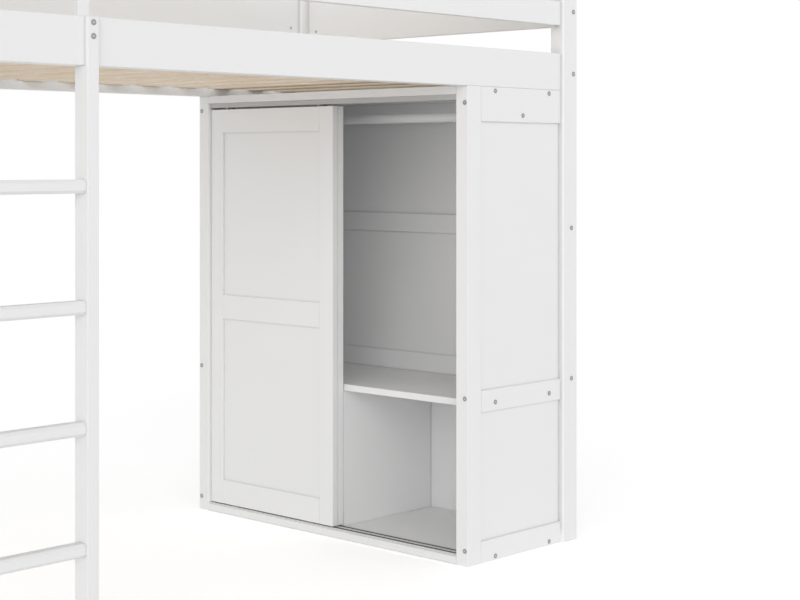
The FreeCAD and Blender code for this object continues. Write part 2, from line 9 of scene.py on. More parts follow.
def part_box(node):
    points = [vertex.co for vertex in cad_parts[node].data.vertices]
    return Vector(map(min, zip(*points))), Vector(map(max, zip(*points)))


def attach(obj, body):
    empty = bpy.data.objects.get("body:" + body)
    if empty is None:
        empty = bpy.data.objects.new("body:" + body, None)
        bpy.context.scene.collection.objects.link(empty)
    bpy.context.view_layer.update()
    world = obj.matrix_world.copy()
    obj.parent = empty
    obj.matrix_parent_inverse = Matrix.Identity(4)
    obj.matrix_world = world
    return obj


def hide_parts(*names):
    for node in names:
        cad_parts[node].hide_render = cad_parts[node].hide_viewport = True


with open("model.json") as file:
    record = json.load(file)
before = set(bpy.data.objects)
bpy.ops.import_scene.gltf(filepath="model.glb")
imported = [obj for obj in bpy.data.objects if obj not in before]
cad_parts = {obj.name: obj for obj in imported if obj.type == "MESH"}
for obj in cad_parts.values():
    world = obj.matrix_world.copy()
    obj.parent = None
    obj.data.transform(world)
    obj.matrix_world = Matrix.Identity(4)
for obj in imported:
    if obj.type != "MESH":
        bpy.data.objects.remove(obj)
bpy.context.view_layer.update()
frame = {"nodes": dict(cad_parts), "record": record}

# Loft bed with a wardrobe under one end: finishes, small hardware, light and camera.
# All lengths are in metres, and colours are linear.

NODES = frame["nodes"]

# Camera, where the photograph was taken from
CAMERA_PLACE = (-2.632, -3.265, 1.022)
CAMERA_TURN = (math.radians(90), 0, math.radians(-46.9))
CAMERA_LENS = 74.655
CAMERA_SENSOR = 36.0
CAMERA_SHIFT_UP = -0.1709
CAMERA_REACH = 200.0

# Soft light from all round, which is weaker overhead and behind the bed. Going round from the front it
# begins to fade before the side, at the angle with this cosine, and ends as far past the side.
AMBIENT_LEVEL = 1.03
AMBIENT_OVERHEAD = 0.62
AMBIENT_FRONT = (-0.73, -0.68, 0.0)
AMBIENT_BEHIND = 0.70
AMBIENT_FADE_START = 0.5
PURE_WHITE = (1, 1, 1, 1)

# Wide key light from the camera's side
KEY_STRENGTH = 1.12
KEY_SPREAD = math.radians(50)
KEY_TURN = (math.radians(82), 0, math.radians(-48))

# Pale floor, which the camera sees a little lighter than it is
FLOOR_SIZE = 40.0
FLOOR_ALBEDO = 0.99
FLOOR_ROUGHNESS = 0.9
FLOOR_LIFT = 0.33

# White paint on pine
PAINT_SHADE = (0.862, 0.864, 0.863, 1)
PAINT_LIGHT = (0.876, 0.879, 0.880, 1)
PAINT_IN_PORES = (0.848, 0.849, 0.847, 1)
# The rubbed colour is lighter: edge wear, and a painted highlight
PAINT_RUBBED_HIGHLIGHT = (0.895, 0.892, 0.885, 1)
PAINT_RUB_HIGHLIGHT_SHARE = 0.12
PAINT_POLISH = 0.10
PAINT_GRAIN_ALONG = 1.6
PAINT_GRAIN_ACROSS = 24.0
PAINT_GRAIN_SHARE = 0.7
PAINT_SPECK_SHARE = 0.3
EDGE_RADIUS = 0.0009

# Painted shade: darker in the inner corners, and how far from the corner it reaches
CORNER_SHADE_COLOUR = (0.45, 0.45, 0.445, 1)
CORNER_SHADE = 0.55
CORNER_REACH = 0.006
DOOR_CORNER_SHADE = 0.20
POST_CORNER_SHADE = 1.0
POST_CORNER_REACH = 0.030
# No corner shade is painted near the floor; it fades in above this height
UNSHADED_FOOT_HEIGHT = 0.020
UNSHADED_FOOT_FADE = 0.025

# White faced panels
PANEL_SHADE = (0.852, 0.854, 0.853, 1)
PANEL_LIGHT = (0.870, 0.873, 0.873, 1)
PANEL_SPECKS = (0.838, 0.839, 0.838, 1)
PANEL_EDGE_RADIUS = 0.0008
PANEL_WORDS = ("panel", "shelf", "divider")

# Bare pine slats
PINE_SHADE = (0.84, 0.70, 0.545, 1)
PINE_LIGHT = (0.96, 0.86, 0.72, 1)
PINE_RINGS = (0.76, 0.59, 0.42, 1)
PINE_PORES = (0.68, 0.55, 0.41, 1)
PINE_EDGE_RADIUS = 0.002

# Wood grain
RING_COUNT = 46.0
RING_RELIEF = 0.4

# Rubbed edges, lightened as wear and as a painted highlight
EDGE_GAIN = 2.0

# Track plastic, and the darker grey down in the grooves that the wheels and guide buttons run in
# The top track's grey is painted darker than the bottom track's, as shade under the top panel's front
TOP_TRACK_SHADED_DARK = (0.50, 0.50, 0.495, 1)
TOP_TRACK_SHADED_LIGHT = (0.58, 0.58, 0.575, 1)
BOTTOM_TRACK_DARK = (0.70, 0.70, 0.695, 1)
BOTTOM_TRACK_LIGHT = (0.78, 0.78, 0.775, 1)
GROOVE_DARK = (0.115, 0.115, 0.115, 1)
GROOVE_LIGHT = (0.19, 0.19, 0.185, 1)
TOP_GROOVE_REACH = 0.0061
TOP_GROOVE_DARK_FOOT = 1.1855
BOTTOM_GROOVE_REACH = 0.0056
BOTTOM_GROOVE_DARK_TOP = 0.0236

# Door hardware plastics
HOUSING_DARK = (0.26, 0.26, 0.27, 1)
HOUSING_LIGHT = (0.33, 0.33, 0.335, 1)
BUTTON_DARK = (0.44, 0.44, 0.445, 1)
BUTTON_LIGHT = (0.52, 0.52, 0.52, 1)
NYLON_DARK = (0.78, 0.78, 0.75, 1)
NYLON_LIGHT = (0.84, 0.84, 0.82, 1)

# Zinc plated steel
BOLT_DARK = (0.52, 0.52, 0.53, 1)
BOLT_LIGHT = (0.62, 0.62, 0.63, 1)
# Painted shade: a darker copy of the steel for the ring of a bolt head, round its brighter middle, which is a
# painted highlight
HEAD_SHADE_DARK = (0.32, 0.32, 0.325, 1)
HEAD_SHADE_LIGHT = (0.40, 0.40, 0.405, 1)
NUT_DARK = (0.46, 0.46, 0.45, 1)
NUT_LIGHT = (0.62, 0.62, 0.61, 1)
PLATE_BRUSH_SHARE = 0.6
PLATE_SPECK_SHARE = 0.4

# Connector bolts. Points further than the reach from a CAD bolt's axis belong to its head, and the stub
# is the short shank that is modelled first and then drawn out to the bolt's length.
HEAD_RADIUS = 0.006
HEAD_HEIGHT = 0.002
HEAD_CHAMFER = 0.0014
HEAD_LIP_WIDTH = 0.0003
HEAD_LIP_DEPTH = 0.0001
HEAD_ROUNDING = 0.00025
HEAD_SIDES = 24
HEAD_REACH = 0.0042
SOCKET_RADIUS = 0.0024
SOCKET_DEPTH = 0.0006
SOCKET_SIDES = 6
SHANK_RADIUS = 0.003
SHANK_STUB = 0.002

# Cross nuts, whose stub is drawn out like a bolt's
NUT_RADIUS = 0.005
NUT_STUB = 0.004
NUT_SLOT_WIDTH = 0.0012
NUT_SLOT_DEPTH = 0.001
NUT_SIDES = 24
SLOT_ROUNDING = 0.0003
SLOT_ROUNDING_SHARE = 1 / 3

# Screws of the roller units and guide buttons
SCREW_RADIUS = 0.0024
SCREW_PROUD = 0.0003
SCREW_HEAD_DEPTH = 0.0009
SCREW_SLOT_WIDTH = 0.0007
SCREW_SLOT_DEPTH = 0.0004
SCREW_SIDES = 16
SCREW_FROM_END = 0.00408
BUTTON_SCREW_SHARE = 1 / 6

# Nails in the ends of the slats, in pairs on both sides of the slat's middle
NAIL_RADIUS = 0.0021
NAIL_PROUD = 0.0003
NAIL_DOME_WIDTH = 0.00084
NAIL_DOME_RISE = 0.00006
NAIL_ROUNDING = 0.0001
NAIL_SPREAD = 0.018
NAIL_SIDES = 12

# Door wheels
WHEEL_RIM = 0.0026
WHEEL_SLOPE = 0.00048
WHEEL_WEB_DEPTH = 0.0012
WHEEL_HUB = 0.0048
WHEEL_HUB_RISE = 0.00096
WHEEL_BORE = 0.00205
WHEEL_TREAD_ROUNDING = 0.0008
WHEEL_SIDES = 32

# Guide buttons
BUTTON_PLATE_THICKNESS = 0.002
BUTTON_PLATE_CORNER = 0.003
BUTTON_PLATE_ROUNDING = 0.0004
BUTTON_PIN_RADIUS = 0.0055
BUTTON_PIN_ROUNDING = 0.0015
BUTTON_PIN_SIDES = 28
BUTTON_DIMPLE_MARGIN = 0.001925
BUTTON_DIMPLE_SLOPE = 0.0003
BUTTON_DIMPLE_DEPTH = 0.0005

# Modelling
SMALLEST_MOVE = 1e-5
PLACE_DIGITS = 5
ROUNDING_SEGMENTS = 2
SHARP_ANGLE = math.radians(50)
SMOOTH_ANGLE = math.radians(35)
UP = Vector((0, 0, 1))


# Shader nodes

def add(tree, kind, **values):
    """New node with the given settings."""
    made = tree.nodes.new(kind)
    for name, value in values.items():
        setattr(made, name, value)
    return made


def calculate(tree, kind, *values):
    """Math node on sockets or plain numbers."""
    made = add(tree, "ShaderNodeMath", operation=kind)
    for socket, value in zip(made.inputs, values):
        if isinstance(value, (int, float)):
            socket.default_value = value
        else:
            tree.links.new(value, socket)
    return made.outputs[0]


def spread(tree, mask, low, high):
    """A mask from 0 to 1 spread between two values."""
    made = add(tree, "ShaderNodeMapRange")
    made.inputs["To Min"].default_value = low
    made.inputs["To Max"].default_value = high
    tree.links.new(mask, made.inputs["Value"])
    return made.outputs["Result"]


def blend(tree, mask, first, second):
    """Colour mix of sockets or plain colours, by a mask."""
    made = add(tree, "ShaderNodeMix", data_type="RGBA")
    tree.links.new(mask, made.inputs["Factor"])
    for socket, value in ((made.inputs["A"], first), (made.inputs["B"], second)):
        if isinstance(value, tuple):
            socket.default_value = value
        else:
            tree.links.new(value, socket)
    return made.outputs["Result"]


def noise(tree, place, scale, detail, roughness=0.5, distortion=0.0):
    """Cloudy pattern with values from 0 to 1."""
    made = add(tree, "ShaderNodeTexNoise")
    made.inputs["Scale"].default_value = scale
    made.inputs["Detail"].default_value = detail
    made.inputs["Roughness"].default_value = roughness
    made.inputs["Distortion"].default_value = distortion
    tree.links.new(place, made.inputs["Vector"])
    return made.outputs["Fac"]


def split_axes(tree, place):
    """The X, Y and Z of a place, each as a socket."""
    made = add(tree, "ShaderNodeSeparateXYZ")
    tree.links.new(place, made.inputs["Vector"])
    return made.outputs


def stretched(tree, place, run, along, across):
    """Coordinates scaled so that a pattern is drawn out along one axis, x, y or z."""
    mapping = add(tree, "ShaderNodeMapping")
    mapping.inputs["Scale"].default_value = [along if axis == run else across for axis in "xyz"]
    tree.links.new(place, mapping.inputs["Vector"])
    return mapping.outputs["Vector"]


def bump(tree, shader, height, strength, depth, round_off=None):
    """Bump from a height, on edges that are shaded as rounded where a radius is given."""
    made = add(tree, "ShaderNodeBump")
    made.inputs["Strength"].default_value = strength
    made.inputs["Distance"].default_value = depth
    tree.links.new(height, made.inputs["Height"])
    if round_off:
        rounded = add(tree, "ShaderNodeBevel", samples=6)
        rounded.inputs["Radius"].default_value = round_off
        tree.links.new(rounded.outputs["Normal"], made.inputs["Normal"])
    tree.links.new(made.outputs["Normal"], shader.inputs["Normal"])


# Effects that several finishes share

def new_group(name, inputs, outputs):
    """An effect with its named inputs and outputs, and the nodes that hold them."""
    group = bpy.data.node_groups.new(name, "ShaderNodeTree")
    for label, kind, value in inputs:
        socket = group.interface.new_socket(label, in_out="INPUT", socket_type=kind)
        if value is not None:
            socket.default_value = value
    for label in outputs:
        group.interface.new_socket(label, in_out="OUTPUT", socket_type="NodeSocketFloat")
    return group, add(group, "NodeGroupInput"), add(group, "NodeGroupOutput")


def make_grain_group():
    """Wood grain that runs along the stretched direction of its coordinates."""
    group, given, result = new_group(
        "Wood grain", [("Position", "NodeSocketVector", None)], ["Rings", "Pores", "Height"])
    place = given.outputs["Position"]
    wander = noise(group, place, scale=0.7, detail=3.0, roughness=0.5, distortion=0.4)
    wave = calculate(group, "SINE", calculate(group, "MULTIPLY", wander, RING_COUNT))
    rings = calculate(group, "MULTIPLY", calculate(group, "ADD", wave, 1.0), 0.5)
    pores = noise(group, place, scale=9.0, detail=8.0, roughness=0.62)
    height = calculate(group, "ADD", calculate(group, "MULTIPLY", rings, RING_RELIEF), pores)
    group.links.new(rings, result.inputs["Rings"])
    group.links.new(pores, result.inputs["Pores"])
    group.links.new(height, result.inputs["Height"])
    return group


def make_edge_group():
    """Masks of the outer edges, where hands and bedding rub and a highlight is painted, and of the inner
    corners, where shade is painted.
    """
    group, given, result = new_group(
        "Edge rub, highlight and corner shade",
        [("Width", "NodeSocketFloat", EDGE_RADIUS), ("Reach", "NodeSocketFloat", CORNER_REACH),
         ("Position", "NodeSocketVector", None)],
        ["Edge", "Corner"])
    open_air = add(group, "ShaderNodeAmbientOcclusion", samples=10)
    group.links.new(given.outputs["Reach"], open_air.inputs["Distance"])
    group.links.new(calculate(group, "SUBTRACT", 1.0, open_air.outputs["AO"]), result.inputs["Corner"])
    rounded = add(group, "ShaderNodeBevel", samples=4)
    group.links.new(given.outputs["Width"], rounded.inputs["Radius"])
    flat = add(group, "ShaderNodeNewGeometry")
    turn = add(group, "ShaderNodeVectorMath", operation="DOT_PRODUCT")
    group.links.new(rounded.outputs["Normal"], turn.inputs[0])
    group.links.new(flat.outputs["Normal"], turn.inputs[1])
    away = calculate(group, "SUBTRACT", 1.0, turn.outputs["Value"])
    patchy = spread(group, noise(group, given.outputs["Position"], scale=7.0, detail=2.0), low=0.4, high=1.2)
    edge = calculate(group, "MULTIPLY", calculate(group, "MULTIPLY", away, EDGE_GAIN), patchy)
    clamped = add(group, "ShaderNodeClamp")
    group.links.new(edge, clamped.inputs["Value"])
    group.links.new(clamped.outputs["Result"], result.inputs["Edge"])
    return group


def make_handling_group():
    """Faint large cloudiness and fine specks, as on any surface that is used."""
    group, given, result = new_group(
        "Handling", [("Position", "NodeSocketVector", None)], ["Clouds", "Specks"])
    place = given.outputs["Position"]
    group.links.new(noise(group, place, scale=3.5, detail=3.0), result.inputs["Clouds"])
    group.links.new(noise(group, place, scale=420.0, detail=2.0), result.inputs["Specks"])
    return group


GRAIN = make_grain_group()
EDGE = make_edge_group()
HANDLING = make_handling_group()


def use_group(tree, group, **given):
    """Places an effect in a finish, with its inputs as sockets or plain numbers."""
    made = add(tree, "ShaderNodeGroup", node_tree=group)
    for label, value in given.items():
        if isinstance(value, (int, float)):
            made.inputs[label].default_value = value
        else:
            tree.links.new(value, made.inputs[label])
    return made.outputs


# Finishes

def new_material(name):
    """A finish to be filled in: its material, node tree, shader and the place on the object."""
    material = bpy.data.materials.new(name)
    material.use_nodes = True
    tree = material.node_tree
    shader = tree.nodes["Principled BSDF"]
    place = add(tree, "ShaderNodeTexCoord").outputs["Object"]
    return material, tree, shader, place


def above_unshaded_foot(tree, place):
    """A mask that is 0 at the floor, where no corner shade is painted, and 1 just above."""
    made = add(tree, "ShaderNodeMapRange")
    made.inputs["From Min"].default_value = UNSHADED_FOOT_HEIGHT
    made.inputs["From Max"].default_value = UNSHADED_FOOT_HEIGHT + UNSHADED_FOOT_FADE
    tree.links.new(split_axes(tree, place)["Z"], made.inputs["Value"])
    return made.outputs["Result"]


def white_paint(name, run, corner_shade, corner_reach):
    """Satin white paint on planed pine, whose grain shows through as a faint relief."""
    material, tree, shader, place = new_material(name + ", grain along " + run)
    grain_place = stretched(tree, place, run, PAINT_GRAIN_ALONG, PAINT_GRAIN_ACROSS)
    grain = use_group(tree, GRAIN, Position=grain_place)
    handling = use_group(tree, HANDLING, Position=place)
    edge = use_group(tree, EDGE, Width=EDGE_RADIUS, Reach=corner_reach, Position=place)
    paint = blend(tree, handling["Clouds"], PAINT_SHADE, PAINT_LIGHT)
    pored = blend(tree, spread(tree, grain["Pores"], low=-0.05, high=0.30), paint, PAINT_IN_PORES)
    # Wear and painted highlight: the outer edges are lighter
    rubbed_highlit = blend(tree, calculate(tree, "MULTIPLY", edge["Edge"], PAINT_RUB_HIGHLIGHT_SHARE), pored, PAINT_RUBBED_HIGHLIGHT)
    # Painted shade: the inner corners are darkened by an occlusion mask, but not near the floor
    corners = calculate(tree, "MULTIPLY", edge["Corner"], above_unshaded_foot(tree, place))
    corner_shaded = blend(tree, calculate(tree, "MULTIPLY", corners, corner_shade), rubbed_highlit, CORNER_SHADE_COLOUR)
    tree.links.new(corner_shaded, shader.inputs["Base Color"])
    rough = spread(tree, grain["Pores"], low=0.42, high=0.56)
    polish = calculate(tree, "MULTIPLY", edge["Edge"], PAINT_POLISH)
    tree.links.new(calculate(tree, "SUBTRACT", rough, polish), shader.inputs["Roughness"])
    relief = calculate(tree, "ADD", calculate(tree, "MULTIPLY", grain["Height"], PAINT_GRAIN_SHARE),
                       calculate(tree, "MULTIPLY", handling["Specks"], PAINT_SPECK_SHARE))
    bump(tree, shader, relief, strength=0.12, depth=0.0006, round_off=EDGE_RADIUS)
    return material


def panel_face():
    """White foil on thin board: smooth, with the faint orange peel of its lacquer."""
    material, tree, shader, place = new_material("White faced panel")
    handling = use_group(tree, HANDLING, Position=place)
    edge = use_group(tree, EDGE, Width=EDGE_RADIUS, Reach=CORNER_REACH, Position=place)
    peel = noise(tree, place, scale=260.0, detail=3.0)
    foil = blend(tree, handling["Clouds"], PANEL_SHADE, PANEL_LIGHT)
    specked = blend(tree, spread(tree, handling["Specks"], low=-0.1, high=0.2), foil, PANEL_SPECKS)
    # Painted shade: the inner corners are darkened by an occlusion mask
    corner_shaded = blend(tree, calculate(tree, "MULTIPLY", edge["Corner"], CORNER_SHADE), specked, CORNER_SHADE_COLOUR)
    tree.links.new(corner_shaded, shader.inputs["Base Color"])
    tree.links.new(spread(tree, peel, low=0.38, high=0.5), shader.inputs["Roughness"])
    bump(tree, shader, peel, strength=0.08, depth=0.0003, round_off=PANEL_EDGE_RADIUS)
    return material


def bare_pine():
    """Planed pine slats: pale tan with soft darker rings along each slat."""
    material, tree, shader, place = new_material("Planed pine")
    grain = use_group(tree, GRAIN, Position=stretched(tree, place, "y", along=1.9, across=30.0))
    broad = noise(tree, stretched(tree, place, "y", along=0.6, across=9.0), scale=1.0, detail=2.0)
    planed = blend(tree, broad, PINE_SHADE, PINE_LIGHT)
    ringed = blend(tree, spread(tree, grain["Rings"], low=0.0, high=0.50), planed, PINE_RINGS)
    pored = blend(tree, spread(tree, grain["Pores"], low=-0.30, high=0.62), ringed, PINE_PORES)
    tree.links.new(pored, shader.inputs["Base Color"])
    tree.links.new(spread(tree, grain["Pores"], low=0.55, high=0.75), shader.inputs["Roughness"])
    bump(tree, shader, grain["Height"], strength=0.35, depth=0.0006, round_off=PINE_EDGE_RADIUS)
    return material


def moulded(name, dark, light, least_rough, most_rough, grain_scale):
    """Plastic with a fine moulded grain."""
    material, tree, shader, place = new_material(name)
    handling = use_group(tree, HANDLING, Position=place)
    tree.links.new(blend(tree, handling["Clouds"], dark, light), shader.inputs["Base Color"])
    fine = noise(tree, place, scale=grain_scale, detail=4.0, roughness=0.6)
    tree.links.new(spread(tree, fine, least_rough, most_rough), shader.inputs["Roughness"])
    bump(tree, shader, fine, strength=0.15, depth=0.0002)
    return material


def groove_lines():
    """The X of the two grooves, in which the wheels of the front and the rear door run."""
    wheels = [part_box(door + "_door_wheel_low") for door in ("front", "rear")]
    return [(low.x + high.x) / 2 for low, high in wheels]


def track_plastic(name, dark, light, groove_reach, dark_side, dark_limit):
    """Extruded plastic, drawn along its length, with darker grey down in the two grooves."""
    material, tree, shader, place = new_material(name)
    axes = split_axes(tree, place)
    grooves = [calculate(tree, "COMPARE", axes["X"], line, groove_reach) for line in groove_lines()]
    deep = calculate(tree, dark_side, axes["Z"], dark_limit)
    in_grooves = calculate(tree, "MULTIPLY", calculate(tree, "MAXIMUM", *grooves), deep)
    handling = use_group(tree, HANDLING, Position=place)
    drawn = noise(tree, stretched(tree, place, "y", along=14.0, across=900.0), scale=1.0, detail=3.0)
    clean = blend(tree, drawn, dark, light)
    groove_colour = blend(tree, handling["Clouds"], GROOVE_DARK, GROOVE_LIGHT)
    tree.links.new(blend(tree, in_grooves, clean, groove_colour), shader.inputs["Base Color"])
    tree.links.new(spread(tree, drawn, low=0.40, high=0.58), shader.inputs["Roughness"])
    bump(tree, shader, drawn, strength=0.06, depth=0.0001)
    return material


def plated(name, dark, light, least_rough, most_rough):
    """Zinc plated steel: brushed, with dull patches."""
    material, tree, shader, place = new_material(name)
    shader.inputs["Metallic"].default_value = 1.0
    handling = use_group(tree, HANDLING, Position=place)
    brushed = noise(tree, stretched(tree, place, "z", along=260.0, across=900.0), scale=1.0, detail=3.0)
    tree.links.new(blend(tree, brushed, dark, light), shader.inputs["Base Color"])
    patches = calculate(tree, "ADD", calculate(tree, "MULTIPLY", brushed, PLATE_BRUSH_SHARE),
                        calculate(tree, "MULTIPLY", handling["Specks"], PLATE_SPECK_SHARE))
    tree.links.new(spread(tree, patches, least_rough, most_rough), shader.inputs["Roughness"])
    bump(tree, shader, patches, strength=0.2, depth=0.0001)
    return material


PAINT = {run: white_paint("White paint on pine", run, CORNER_SHADE, CORNER_REACH) for run in "xyz"}
# The doors get less painted corner shade, and the posts more of it, reaching further
DOOR_PAINT = {run: white_paint("White paint on the doors", run, DOOR_CORNER_SHADE, CORNER_REACH)
              for run in "yz"}
POST_PAINT = white_paint("White paint on the posts", "z", POST_CORNER_SHADE, POST_CORNER_REACH)
PANEL = panel_face()
PINE = bare_pine()
TRACKS = {
    # Painted shade: the top track is darker than the bottom one
    "top_track": track_plastic("Top track plastic, painted shade", TOP_TRACK_SHADED_DARK, TOP_TRACK_SHADED_LIGHT,
                               TOP_GROOVE_REACH, "GREATER_THAN", TOP_GROOVE_DARK_FOOT),
    "bottom_track": track_plastic("Bottom track plastic", BOTTOM_TRACK_DARK, BOTTOM_TRACK_LIGHT,
                                  BOTTOM_GROOVE_REACH, "LESS_THAN", BOTTOM_GROOVE_DARK_TOP),
}
HOUSING = moulded("Housing plastic", HOUSING_DARK, HOUSING_LIGHT,
                  least_rough=0.45, most_rough=0.62, grain_scale=500.0)
BUTTON = moulded("Guide plastic", BUTTON_DARK, BUTTON_LIGHT,
                 least_rough=0.45, most_rough=0.62, grain_scale=500.0)
NYLON = moulded("Nylon", NYLON_DARK, NYLON_LIGHT, least_rough=0.32, most_rough=0.48, grain_scale=600.0)
STEEL = plated("Bolt steel", BOLT_DARK, BOLT_LIGHT, least_rough=0.28, most_rough=0.50)
SHADED_HEAD_STEEL = plated("Bolt head steel, painted shade ring", HEAD_SHADE_DARK, HEAD_SHADE_LIGHT, least_rough=0.40, most_rough=0.62)
ZINC = plated("Nut zinc", NUT_DARK, NUT_LIGHT, least_rough=0.34, most_rough=0.60)

BY_SLOT = {
    "panel_white": PANEL,
    "natural_pine": PINE,
    "housing_plastic": HOUSING,
    "nylon": NYLON,
    "bolt_steel": STEEL,
    "nut_zinc": ZINC,
}


def longest_axis(size):
    """0, 1 or 2: the axis along which a box is longest."""
    return max(range(3), key=lambda axis: size[axis])


def finish_of(name, slot):
    """The finish of a CAD node, with the paint's grain along the node's longest side."""
    if name in TRACKS:
        return TRACKS[name]
    if slot in BY_SLOT:
        return BY_SLOT[slot]
    if slot == "white_paint" and any(word in name for word in PANEL_WORDS):
        return PANEL
    if name.endswith("_post"):
        return POST_PAINT
    low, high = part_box(name)
    run = "xyz"[longest_axis(high - low)]
    return DOOR_PAINT[run] if "door" in name else PAINT[run]


def dress_nodes():
    """Gives every CAD node its finish."""
    slots = {part["node"]: part["material_slot"] for part in frame["record"]["subparts"]}
    for name, piece in NODES.items():
        piece.data.materials.clear()
        piece.data.materials.append(finish_of(name, slots[name]))


# Modelling helpers

def clear_selection():
    bpy.ops.object.select_all(action="DESELECT")


def make_active(piece):
    bpy.context.view_layer.objects.active = piece


def pick(piece, wanted, kind="FACE"):
    """In edit mode, selects only the faces, edges or points whose middle passes a test."""
    mesh = bmesh.from_edit_mesh(piece.data)
    bpy.ops.mesh.select_mode(type=kind)
    bpy.ops.mesh.select_all(action="DESELECT")
    for part in {"FACE": mesh.faces, "EDGE": mesh.edges, "VERT": mesh.verts}[kind]:
        if kind == "VERT":
            middle = part.co
        else:
            middle = sum((corner.co for corner in part.verts), Vector()) / len(part.verts)
        if wanted(middle, part):
            part.select_set(True)
    mesh.select_flush_mode()
    bmesh.update_edit_mesh(piece.data)


def round_edges(piece, width):
    """Rounds the sharp edges and shades the piece smooth."""
    bevel = piece.modifiers.new("Rounded edges", "BEVEL")
    bevel.width = width
    bevel.segments = ROUNDING_SEGMENTS
    bevel.limit_method = "ANGLE"
    bevel.angle_limit = SHARP_ANGLE
    make_active(piece)
    bpy.ops.object.modifier_apply(modifier=bevel.name)
    bpy.ops.object.shade_smooth_by_angle(angle=SMOOTH_ANGLE)


def join(pieces):
    """Joins separate pieces into the first of them."""
    clear_selection()
    for piece in pieces:
        piece.select_set(True)
    make_active(pieces[0])
    bpy.ops.object.join()
    return bpy.context.object


def settle(piece, name, material, body, slot, *nodes):
    """Names a finished piece, puts its place into its mesh and hands it to its body.

    A piece that has its materials already is given None.
    """
    clear_selection()
    piece.select_set(True)
    make_active(piece)
    bpy.ops.object.transform_apply(location=True, rotation=True, scale=True)
    piece.name = name
    piece.data.name = name
    if material:
        piece.data.materials.clear()
        piece.data.materials.append(material)
    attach(piece, body)
    if nodes:
        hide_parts(*nodes)


def box_of(points):
    """The low and the high corner of the box around some points."""
    low = Vector([min(point[axis] for point in points) for axis in range(3)])
    high = Vector([max(point[axis] for point in points) for axis in range(3)])
    return low, high


def place_order(points):
    """What solids are sorted by: their boxes, rounded so that last digits don't change the order."""
    low, high = box_of(points)
    return tuple(round(value, PLACE_DIGITS) for value in (*low, *high))


def loose_solids(node):
    """The points of each separate solid in a CAD node, which is left as it is."""
    clear_selection()
    copy = NODES[node].copy()
    copy.data = NODES[node].data.copy()
    copy.parent = None
    bpy.context.scene.collection.objects.link(copy)
    copy.select_set(True)
    make_active(copy)
    bpy.ops.object.mode_set(mode="EDIT")
    bpy.ops.mesh.select_all(action="SELECT")
    bpy.ops.mesh.remove_doubles(threshold=SMALLEST_MOVE)
    bpy.ops.mesh.separate(type="LOOSE")
    bpy.ops.object.mode_set(mode="OBJECT")
    found = []
    for piece in list(bpy.context.selected_objects):
        found.append([corner.co.copy() for corner in piece.data.vertices])
        bpy.data.objects.remove(piece)
    return sorted(found, key=place_order)


def place_copies(model, places, head_depth=math.inf):
    """Copies a modelled piece to each place, its +Z turned outwards, and joins the copies.

    Points deeper than the head go on to the far end of the bar that the copy stands for.
    """
    copies = []
    for tip, outward, length in places:
        copy = model.copy()
        copy.data = model.data.copy()
        for corner in copy.data.vertices:
            if corner.co.z < -head_depth:
                corner.co.z = -length
        turn = UP.rotation_difference(outward).to_matrix().to_4x4()
        copy.data.transform(Matrix.Translation(tip) @ turn)
        bpy.context.scene.collection.objects.link(copy)
        copies.append(copy)
    bpy.data.objects.remove(model)
    return join(copies)


def bar_end(low, high, axis, sign):
    """The middle of a bar's end face, the way that the face looks, and the bar's length."""
    tip = (low + high) / 2
    tip[axis] = high[axis] if sign > 0 else low[axis]
    outward = Vector([sign if index == axis else 0 for index in range(3)])
    return tip, outward, (high - low)[axis]


# Connector bolts with chamfered flat heads and small hexagon sockets

